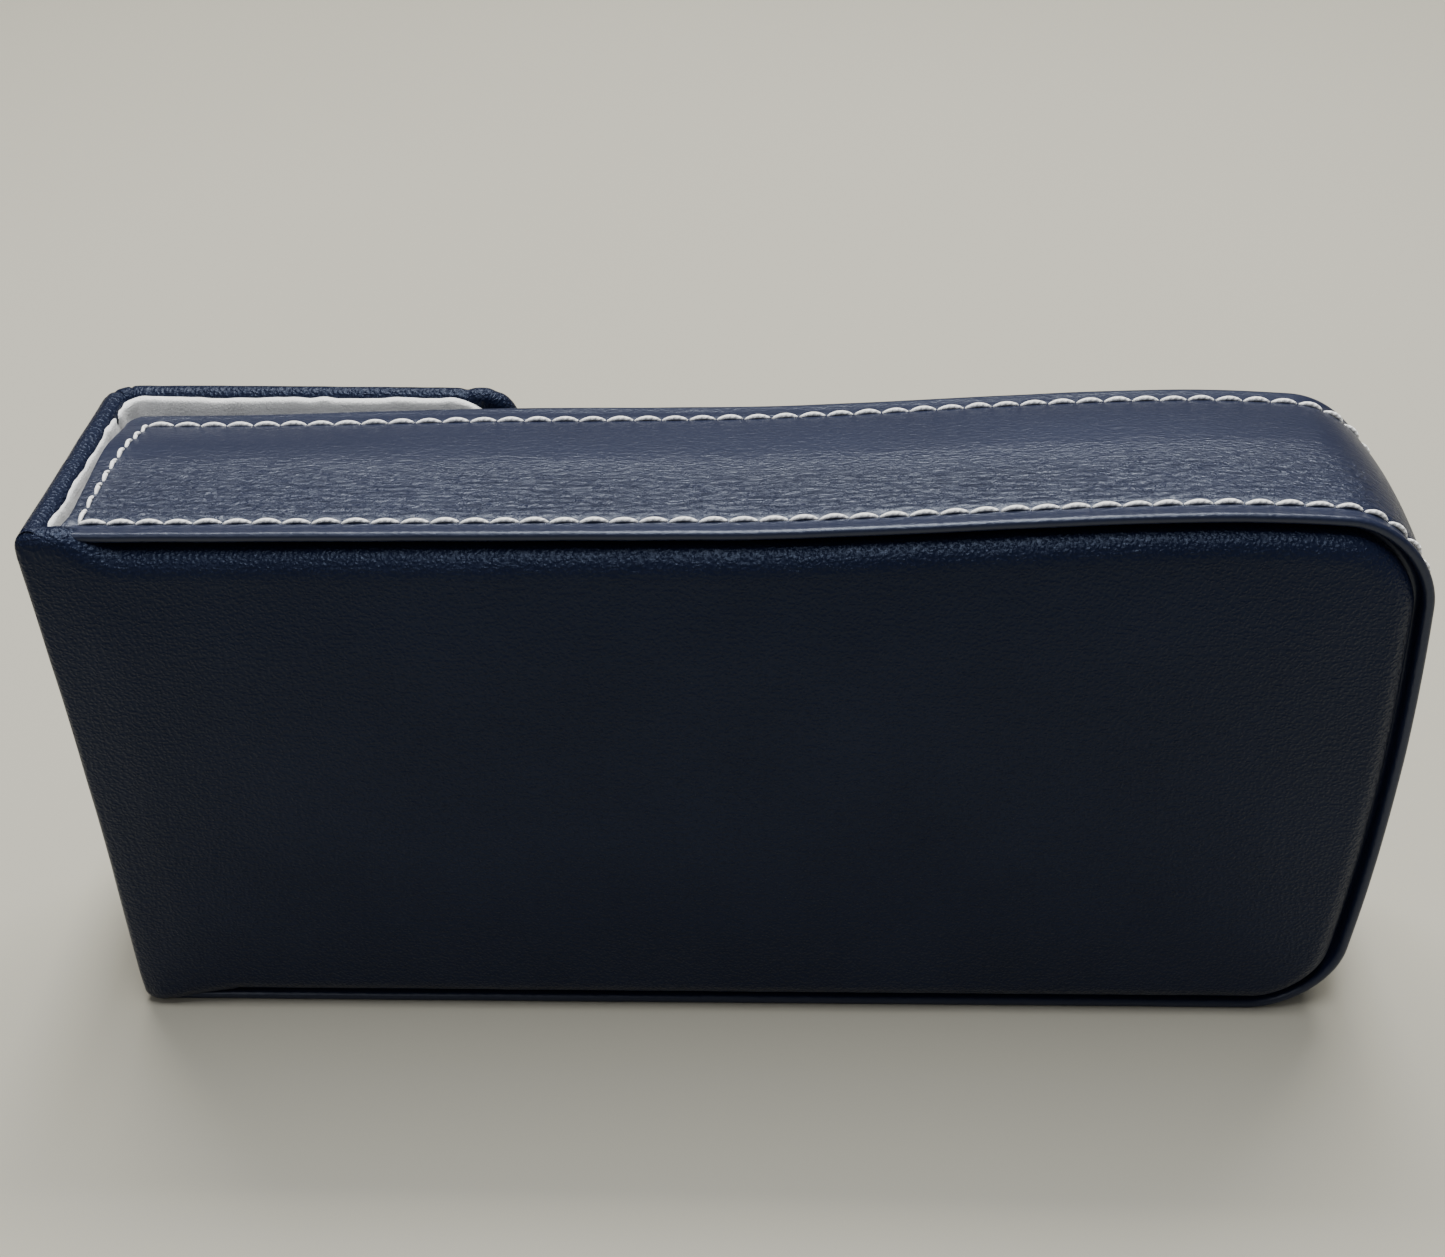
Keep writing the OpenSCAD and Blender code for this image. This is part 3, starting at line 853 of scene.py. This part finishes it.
def panel_plush(name, sgn):
    q = path_outline(MOUTH_X + 0.35, 1.3)
    nn = inward(q); nn[0], nn[-1] = (0, -1), (0, 1)
    inn = q + nn * (INNER - 0.4)
    k1 = int(np.argmax((nn[:, 0] < -0.707) & (q[:, 0] > FLAT_X - 5)))
    k2 = len(q) - 1 - int(np.argmax(((nn[:, 0] < -0.707) & (q[:, 0] > FLAT_X - 5))[::-1]))
    Ti, Bi, Si = inn[:k1 + 1], inn[k2:][::-1], inn[k1:k2 + 1]
    m = min(len(Ti), len(Bi))
    def rs(a): LL = arc_len(a); return at_len(a, np.linspace(0, LL[-1], m), LL)
    L = np.stack([np.full(len(Si), Ti[0, 0]), Ti[0, 1] + (Bi[0, 1] - Ti[0, 1]) * (arc_len(Si) / arc_len(Si)[-1])], -1)
    G = coons(rs(Ti), rs(Bi), L, Si)
    gu, gz = G[..., 0], G[..., 1]
    y_face = SEAT - 1.05
    yy = y_face + 0.12 * noise2(gu / 3.0, gz / 3.0, 61 + sgn) + 0.10 * noise2(gu / 14.0, gz / 11.0, 63)
    P = np.stack([gu, sgn * yy, gz], -1)
    b = Build()
    b.grid(P, np.stack([gu, gz, 0 * gu + sgn * 7], -1))
    # turned over the mouth edge of the panel
    e = P[0]
    pts = []
    for dx, dy in ((0, 0), (-0.08, 0.10), (-0.13, 0.3), (-0.15, 0.7), (-0.15, 1.0)):
        r = e.copy(); r[:, 0] += dx; r[:, 1] = sgn * (np.abs(e[:, 1]) + dy); pts.append(r)
    b.grid(np.stack(pts), np.stack([np.stack([r[:, 0] - 3, r[:, 2], 0 * r[:, 0] + sgn * 7], -1) for r in pts]))
    return fix_normals(b.make(name), lambda c: Vector((0, -sgn, 0)))


plush_band = band_plush()
plush_front = panel_plush("front_plush", -1)
plush_back = panel_plush("back_plush", 1)


def fold_strip():
    """The lining carried across the first fold, against the leatherette."""
    r = 0.5
    cx, cy = R1 - OFF, -SKIN + R1
    pts = [(x, cy - r) for x in np.linspace(MOUTH_X + 1.2, cx + 0.2, 12)]
    pts += [(cx - r * math.sin(t), cy - r * math.cos(t)) for t in np.radians(np.linspace(6, 84, 9))]
    pts += [(cx - r, y) for y in np.linspace(cy, cy + 2.6, 10)]
    P2 = np.array(pts)
    z = np.linspace(ZC0 + 5.0, ZC1 - 2.2, 60)
    mid = arc_len(P2) - arc_len(P2)[16]
    soft = 0.42 * np.sqrt(c01(1 - z / 72.0))[None, :] * np.exp(-(mid / 1.8) ** 2)[:, None]
    lean = slant(z)[None, :] * np.where(mid < 0, 0.97, 1.0)[:, None]
    P = np.stack([P2[:, 0:1] + lean + soft, P2[:, 1:2] + soft + 0 * lean, z[None] + 0 * lean], -1)
    b = Build()
    b.grid(P, np.stack([np.repeat(arc_len(P2)[:, None], len(z), 1), P[..., 2], 0 * P[..., 2]], -1))
    return fix_normals(b.make("fold_plush"), lambda c: Vector((1, 1, 0)))


plush_fold = fold_strip()

# ------------------------------------------------------------------ materials
def nodes_of(name):
    m = bpy.data.materials.new(name)
    m.use_nodes = True
    nt = m.node_tree
    for n in list(nt.nodes):
        nt.nodes.remove(n)
    out = nt.nodes.new("ShaderNodeOutputMaterial")
    bsdf = nt.nodes.new("ShaderNodeBsdfPrincipled")
    nt.links.new(bsdf.outputs[0], out.inputs[0])
    return m, nt, bsdf


def N(nt, kind, **kw):
    n = nt.nodes.new(kind)
    for k, v in kw.items():
        if k in n.inputs:
            n.inputs[k].default_value = v
        else:
            setattr(n, k, v)
    return n


def vec(nt, scale, use_attr=True):
    if use_attr:
        a = N(nt, "ShaderNodeAttribute", attribute_name="flat"); src = a.outputs["Vector"]
    else:
        a = N(nt, "ShaderNodeTexCoord"); src = a.outputs["Object"]
    m = N(nt, "ShaderNodeMapping")
    m.inputs["Scale"].default_value = scale
    nt.links.new(src, m.inputs["Vector"])
    return m.outputs["Vector"]


def ramp(nt, src, stops):
    r = nt.nodes.new("ShaderNodeValToRGB")
    el = r.color_ramp.elements
    while len(el) > 1:
        el.remove(el[-1])
    el[0].position, el[0].color = stops[0][0], stops[0][1]
    for p, c in stops[1:]:
        e = el.new(p); e.color = c
    nt.links.new(src, r.inputs["Fac"])
    return r.outputs["Color"]


def math_node(nt, op, a, b=None, c=None, clamp=False):
    n = nt.nodes.new("ShaderNodeMath"); n.operation = op; n.use_clamp = clamp
    for i, x in enumerate((a, b, c)):
        if x is None:
            continue
        if isinstance(x, (int, float)):
            n.inputs[i].default_value = x
        else:
            nt.links.new(x, n.inputs[i])
    return n.outputs[0]


def grey(v):
    return (v, v, v, 1)


def leather(name, base, light, grain, wrinkle, rough, spec, grain_s=1.0, near_band=False, tint=(1, 1, 1, 1)):
    m, nt, b = nodes_of(name)
    v = vec(nt, (1, 1, 1))
    # pebbled grain: rounded cells with fine creases between them
    if near_band:
        v = vec(nt, (0.58, 1.22, 1))
    vs = N(nt, "ShaderNodeTexVoronoi", feature="SMOOTH_F1", voronoi_dimensions="2D")
    vs.inputs["Scale"].default_value = 1.55 * grain_s; vs.inputs["Smoothness"].default_value = 0.6
    warpn = N(nt, "ShaderNodeTexNoise", noise_dimensions="2D"); warpn.inputs["Scale"].default_value = 0.9
    warpn.inputs["Detail"].default_value = 2.0
    nt.links.new(v, warpn.inputs["Vector"])
    add = nt.nodes.new("ShaderNodeVectorMath"); add.operation = "MULTIPLY_ADD"
    nt.links.new(warpn.outputs["Color"], add.inputs[0]); add.inputs[1].default_value = (0.7, 0.7, 0)
    nt.links.new(v, add.inputs[2])
    nt.links.new(add.outputs[0], vs.inputs["Vector"])
    cell = math_node(nt, "SMOOTH_MIN", vs.outputs["Distance"], 0.55, 0.25)
    fine = N(nt, "ShaderNodeTexNoise", noise_dimensions="2D"); fine.inputs["Scale"].default_value = 3.4 * grain_s
    fine.inputs["Detail"].default_value = 3.0; fine.inputs["Roughness"].default_value = 0.6
    nt.links.new(v, fine.inputs["Vector"])
    # long soft wrinkles
    vw = vec(nt, (0.45, 1.5, 1))
    wr = N(nt, "ShaderNodeTexNoise", noise_dimensions="2D"); wr.inputs["Scale"].default_value = 1.0
    wr.inputs["Detail"].default_value = 4.0; wr.inputs["Roughness"].default_value = 0.62; wr.inputs["Distortion"].default_value = 0.8
    nt.links.new(vw, wr.inputs["Vector"])
    big = N(nt, "ShaderNodeTexNoise", noise_dimensions="2D"); big.inputs["Scale"].default_value = 0.05
    big.inputs["Detail"].default_value = 2.0
    nt.links.new(v, big.inputs["Vector"])
    h = math_node(nt, "MULTIPLY", cell, -grain)
    h = math_node(nt, "MULTIPLY_ADD", fine.outputs["Fac"], grain * 0.16, h)
    if near_band:
        sep = nt.nodes.new("ShaderNodeSeparateXYZ"); nt.links.new(vec(nt, (1, 1, 1)), sep.inputs[0])
        # wrinkles gather on the near half of the band
        k = N(nt, "ShaderNodeMapRange", interpolation_type="SMOOTHSTEP")
        k.inputs["From Min"].default_value = 3.0; k.inputs["From Max"].default_value = -6.0
        nt.links.new(sep.outputs["Y"], k.inputs["Value"])
        k2 = N(nt, "ShaderNodeMapRange", interpolation_type="SMOOTHSTEP")
        k2.inputs["From Min"].default_value = -13.0; k2.inputs["From Max"].default_value = -10.5
        nt.links.new(sep.outputs["Y"], k2.inputs["Value"])
        kk = math_node(nt, "MULTIPLY", k.outputs[0], k2.outputs[0])
        ampl = math_node(nt, "MULTIPLY_ADD", kk, wrinkle, wrinkle * 0.12)
        h = math_node(nt, "MULTIPLY", h, math_node(nt, "MULTIPLY_ADD", kk, 0.9, 0.35))
        h = math_node(nt, "ADD", h, math_node(nt, "MULTIPLY", wr.outputs["Fac"], ampl))
    else:
        h = math_node(nt, "MULTIPLY_ADD", wr.outputs["Fac"], wrinkle, h)
    bump = N(nt, "ShaderNodeBump"); bump.inputs["Strength"].default_value = 1.0
    bump.inputs["Distance"].default_value = 0.001
    nt.links.new(h, bump.inputs["Height"])
    nt.links.new(bump.outputs[0], b.inputs["Normal"])
    col = ramp(nt, math_node(nt, "MULTIPLY_ADD", fine.outputs["Fac"], 0.5, math_node(nt, "MULTIPLY", big.outputs["Fac"], 0.5)),
               [(0.30, (*base, 1)), (0.72, (*light, 1))])
    nt.links.new(col, b.inputs["Base Color"])
    rg = math_node(nt, "MULTIPLY_ADD", fine.outputs["Fac"], 0.22, rough - 0.11)
    nt.links.new(rg, b.inputs["Roughness"])
    b.inputs["Specular IOR Level"].default_value = spec
    b.inputs["Sheen Weight"].default_value = 0.0
    b.inputs["Specular Tint"].default_value = tint
    return m


def fabric(name, c0, c1, scale, bumpd, rough=0.9, sheen=0.5, attr=True, voro=True):
    m, nt, b = nodes_of(name)
    k = 1.0 if attr else 1000.0
    v = vec(nt, (k, k, k), attr)
    n1 = N(nt, "ShaderNodeTexNoise"); n1.inputs["Scale"].default_value = scale
    n1.inputs["Detail"].default_value = 4.0; n1.inputs["Roughness"].default_value = 0.7
    nt.links.new(v, n1.inputs["Vector"])
    n2 = N(nt, "ShaderNodeTexNoise"); n2.inputs["Scale"].default_value = scale * 0.14
    n2.inputs["Detail"].default_value = 2.0
    nt.links.new(v, n2.inputs["Vector"])
    mix = math_node(nt, "MULTIPLY_ADD", n1.outputs["Fac"], 0.55, math_node(nt, "MULTIPLY", n2.outputs["Fac"], 0.45))
    nt.links.new(ramp(nt, mix, [(0.32, (*c0, 1)), (0.66, (*c1, 1))]), b.inputs["Base Color"])
    bump = N(nt, "ShaderNodeBump"); bump.inputs["Strength"].default_value = 1.0
    bump.inputs["Distance"].default_value = 0.001
    nt.links.new(math_node(nt, "MULTIPLY", mix, bumpd), bump.inputs["Height"])
    nt.links.new(bump.outputs[0], b.inputs["Normal"])
    b.inputs["Roughness"].default_value = rough
    b.inputs["Specular IOR Level"].default_value = 0.15
    b.inputs["Sheen Weight"].default_value = sheen
    b.inputs["Sheen Roughness"].default_value = 0.6
    return m


def thread_mat():
    m, nt, b = nodes_of("white_thread")
    v = vec(nt, (1, 1, 1))
    sep = nt.nodes.new("ShaderNodeSeparateXYZ"); nt.links.new(v, sep.inputs[0])
    tw = math_node(nt, "SINE", math_node(nt, "MULTIPLY_ADD", sep.outputs["X"], 9.0, math_node(nt, "MULTIPLY", sep.outputs["Z"], 6.28)))
    n1 = N(nt, "ShaderNodeTexNoise"); n1.inputs["Scale"].default_value = 5.0
    nt.links.new(v, n1.inputs["Vector"])
    h = math_node(nt, "MULTIPLY_ADD", tw, 0.035, math_node(nt, "MULTIPLY", n1.outputs["Fac"], 0.05))
    bump = N(nt, "ShaderNodeBump"); bump.inputs["Distance"].default_value = 0.001
    nt.links.new(h, bump.inputs["Height"]); nt.links.new(bump.outputs[0], b.inputs["Normal"])
    mix = math_node(nt, "MULTIPLY_ADD", tw, 0.10, n1.outputs["Fac"])
    nt.links.new(ramp(nt, mix, [(0.25, (0.86, 0.86, 0.83, 1)), (0.55, (0.97, 0.97, 0.95, 1))]), b.inputs["Base Color"])
    b.inputs["Roughness"].default_value = 0.7
    b.inputs["Specular IOR Level"].default_value = 0.3
    b.inputs["Sheen Weight"].default_value = 0.3
    return m


def board_mat():
    m, nt, b = nodes_of("greyboard")
    v = vec(nt, (1000, 1000, 1000), False)
    n1 = N(nt, "ShaderNodeTexNoise"); n1.inputs["Scale"].default_value = 2.5
    n1.inputs["Detail"].default_value = 5.0; n1.inputs["Roughness"].default_value = 0.75
    nt.links.new(v, n1.inputs["Vector"])
    vo = N(nt, "ShaderNodeTexVoronoi"); vo.inputs["Scale"].default_value = 0.8
    nt.links.new(v, vo.inputs["Vector"])
    mix = math_node(nt, "MULTIPLY_ADD", vo.outputs["Distance"], 0.2, n1.outputs["Fac"])
    nt.links.new(ramp(nt, mix, [(0.3, (0.30, 0.25, 0.19, 1)), (0.7, (0.52, 0.45, 0.36, 1))]), b.inputs["Base Color"])
    bump = N(nt, "ShaderNodeBump"); bump.inputs["Distance"].default_value = 0.0002
    nt.links.new(n1.outputs["Fac"], bump.inputs["Height"]); nt.links.new(bump.outputs[0], b.inputs["Normal"])
    b.inputs["Roughness"].default_value = 0.9
    return m


def metal_mat(name, c0, c1, rough, stretch):
    m, nt, b = nodes_of(name)
    v = vec(nt, stretch, False)
    n1 = N(nt, "ShaderNodeTexNoise"); n1.inputs["Scale"].default_value = 1.0
    n1.inputs["Detail"].default_value = 4.0
    nt.links.new(v, n1.inputs["Vector"])
    nt.links.new(ramp(nt, n1.outputs["Fac"], [(0.35, (*c0, 1)), (0.65, (*c1, 1))]), b.inputs["Base Color"])
    nt.links.new(math_node(nt, "MULTIPLY_ADD", n1.outputs["Fac"], 0.25, rough - 0.1), b.inputs["Roughness"])
    bump = N(nt, "ShaderNodeBump"); bump.inputs["Distance"].default_value = 0.00005
    nt.links.new(n1.outputs["Fac"], bump.inputs["Height"]); nt.links.new(bump.outputs[0], b.inputs["Normal"])
    b.inputs["Metallic"].default_value = 1.0
    return m


M_BAND = leather("band_leatherette", (0.0060, 0.0088, 0.026), (0.0100, 0.0140, 0.037), 0.10, 0.38, 0.37, 0.50, 1.25, near_band=True, tint=(0.80, 0.88, 1.0, 1))
# painted shade: the panel sheets are the same navy leatherette as the band, but their base colour is set darker, with a
# lower specular level and a bluer specular tint, so the front face reads as if it lay in shade on every part this
# covers; the noise-driven tone variation is the leather's own
M_PANEL_SHADED = leather("panel_leatherette", (0.0040, 0.0062, 0.0190), (0.0068, 0.0100, 0.0265), 0.15, 0.09, 0.35, 0.21, 1.25, tint=(0.60, 0.74, 1.0, 1))
M_THREAD = thread_mat()
M_PLUSH = fabric("white_plush", (0.84, 0.84, 0.82), (0.96, 0.96, 0.94), 3.0, 0.30, 0.95, 0.6)
M_FOAM = fabric("panel_foam", (0.62, 0.55, 0.36), (0.80, 0.74, 0.54), 2.2, 0.2, 0.95, 0.0, attr=False)
M_BOARD = board_mat()
M_STEEL = metal_mat("keeper_steel", (0.42, 0.42, 0.44), (0.60, 0.60, 0.62), 0.42, (200, 200, 6000))
M_NICKEL = metal_mat("magnet_nickel", (0.60, 0.58, 0.55), (0.74, 0.72, 0.69), 0.28, (900, 900, 900))


def put(o, m):
    o.data.materials.clear(); o.data.materials.append(m)


for o in (skin_a, skin_b, back_skin):
    put(o, M_PANEL_SHADED)
put(band_skin, M_BAND)
for o in (st_front, st_back, st_mouth):
    put(o, M_THREAD)
for o in (plush_b, plush_band, plush_front, plush_back, plush_fold):
    put(o, M_PLUSH)

for n, m in {"band_board": M_BOARD, "front_board": M_BOARD, "back_board": M_BOARD, "cover_board": M_BOARD,
             "flap_board": M_BOARD, "front_foam": M_FOAM, "back_foam": M_FOAM, "keeper_plate": M_STEEL,
             "flap_magnets": M_NICKEL}.items():
    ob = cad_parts[n]
    for s in ob.material_slots:
        s.material = m
    if not ob.material_slots:
        ob.data.materials.append(m)

# ------------------------------------------------------------------ bodies
def pt(x, y, z):
    return tuple(float(v) for v in to_frame(np.array([x, y, z])))


for o in (band_skin, back_skin, st_front, st_back, st_mouth, plush_band, plush_front, plush_back):
    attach(o, "case_body")
a = 2.6
b_ = 5.0
pt(PX + a / 2, PY - a / 2, 37)
pt(PX - a / 2, PY + a / 2, 37)
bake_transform(skin_a)
pt(PX + a / 2, PY - a / 2, 37)
pt(PX - a / 2, PY + a / 2, 37)
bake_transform(plush_fold)
pt(QX - b_ / 2, QY - b_ / 2, 37)
pt(QX + b_ / 2, QY + b_ / 2, 37)
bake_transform(skin_b)
pt(QX - 0.5, QY - 0.5, 37)
pt(QX + 2.5, QY + 2.5, 37)
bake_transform(plush_b)
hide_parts("band_leather")
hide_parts("stitching_front")
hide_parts("stitching_back")
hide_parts("stitching_mouth")
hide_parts("front_leather", "cover_leather")
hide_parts("flap_leather")
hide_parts("back_leather")
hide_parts("cover_lining", "flap_lining")
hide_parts("band_lining")
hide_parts("front_lining")
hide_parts("back_lining")

# ------------------------------------------------------------------ stage, light and camera
def stage_plane():
    n = 60
    ys = np.concatenate([np.linspace(-1.2, 0.9, 20), 0.9 + 0.6 * np.sin(np.radians(np.linspace(5, 90, 16))), np.full(20, 1.5)])
    zs = np.concatenate([np.zeros(20), 0.6 - 0.6 * np.cos(np.radians(np.linspace(5, 90, 16))), np.linspace(0.65, 2.4, 20)])
    xs = np.linspace(-1.8, 1.8, 12)
    V = [(float(x), float(y), float(z)) for x in xs for y, z in zip(ys, zs)]
    m = len(ys)
    F = [(i * m + j, (i + 1) * m + j, (i + 1) * m + j + 1, i * m + j + 1) for i in range(len(xs) - 1) for j in range(m - 1)]
    me = bpy.data.meshes.new("floor"); me.from_pydata(V, [], F)
    me.polygons.foreach_set("use_smooth", [True] * len(me.polygons)); me.update()
    ob = bpy.data.objects.new("floor", me); bpy.context.scene.collection.objects.link(ob)
    mt, nt, b = nodes_of("floor_card")
    v = vec(nt, (1, 1, 1), False)
    n1 = N(nt, "ShaderNodeTexNoise"); n1.inputs["Scale"].default_value = 2.2
    nt.links.new(v, n1.inputs["Vector"])
    nt.links.new(ramp(nt, n1.outputs["Fac"], [(0.3, (0.375, 0.357, 0.295, 1)), (0.7, (0.400, 0.382, 0.318, 1))]), b.inputs["Base Color"])
    b.inputs["Roughness"].default_value = 0.85
    b.inputs["Specular IOR Level"].default_value = 0.2
    ob.data.materials.append(mt)
    return ob


stage_plane()


def area(name, loc, target, size, power, color=(1, 1, 1), size_y=None):
    l = bpy.data.lights.new(name, "AREA"); l.energy = power; l.color = color
    l.shape = "RECTANGLE" if size_y else "SQUARE"; l.size = size
    if size_y:
        l.size_y = size_y
    o = bpy.data.objects.new(name, l); bpy.context.scene.collection.objects.link(o)
    o.location = loc
    d = Vector(target) - Vector(loc)
    o.rotation_euler = d.to_track_quat("-Z", "Y").to_euler()
    return o


area("key", (0.0, 0.44, 0.92), (0, 0, 0.05), 0.95, 14.0, (1.0, 0.985, 0.96), size_y=0.20)
area("over", (0.03, 0.0, 1.0), (0, 0, 0.05), 0.80, 11.5, (0.97, 0.985, 1.0), size_y=0.14)
area("fill", (-0.50, -0.75, 0.80), (-0.08, -0.20, 0.0), 0.45, 1.3, (1.0, 0.99, 0.975))
w = bpy.data.worlds.new("soft"); bpy.context.scene.world = w; w.use_nodes = True
bg = w.node_tree.nodes["Background"]
bg.inputs[0].default_value = (0.92, 0.94, 1.0, 1); bg.inputs[1].default_value = 0.16

cam_d = bpy.data.cameras.new("camera"); cam = bpy.data.objects.new("camera", cam_d)
bpy.context.scene.collection.objects.link(cam)
F_PX = 1839.7
R_C = np.array([[0.99979, 0.01905, -0.00725], [0.00488, -0.56922, -0.82217], [-0.01979, 0.82196, -0.5692]])
C_MM = np.array([2.82, -193.95, 184.44])
cam_d.sensor_width = 36.0; cam_d.sensor_fit = "HORIZONTAL"
cam_d.lens = F_PX / 1445 * 36
M = Matrix.Identity(4)
cols = [R_C[0], -R_C[1], -R_C[2]]
for j in range(3):
    for i in range(3):
        M[i][j] = float(cols[j][i])
for i in range(3):
    M[i][3] = float(C_MM[i]) / 1000
cam.matrix_world = M
cam_d.clip_start = 0.01
bpy.context.scene.camera = cam
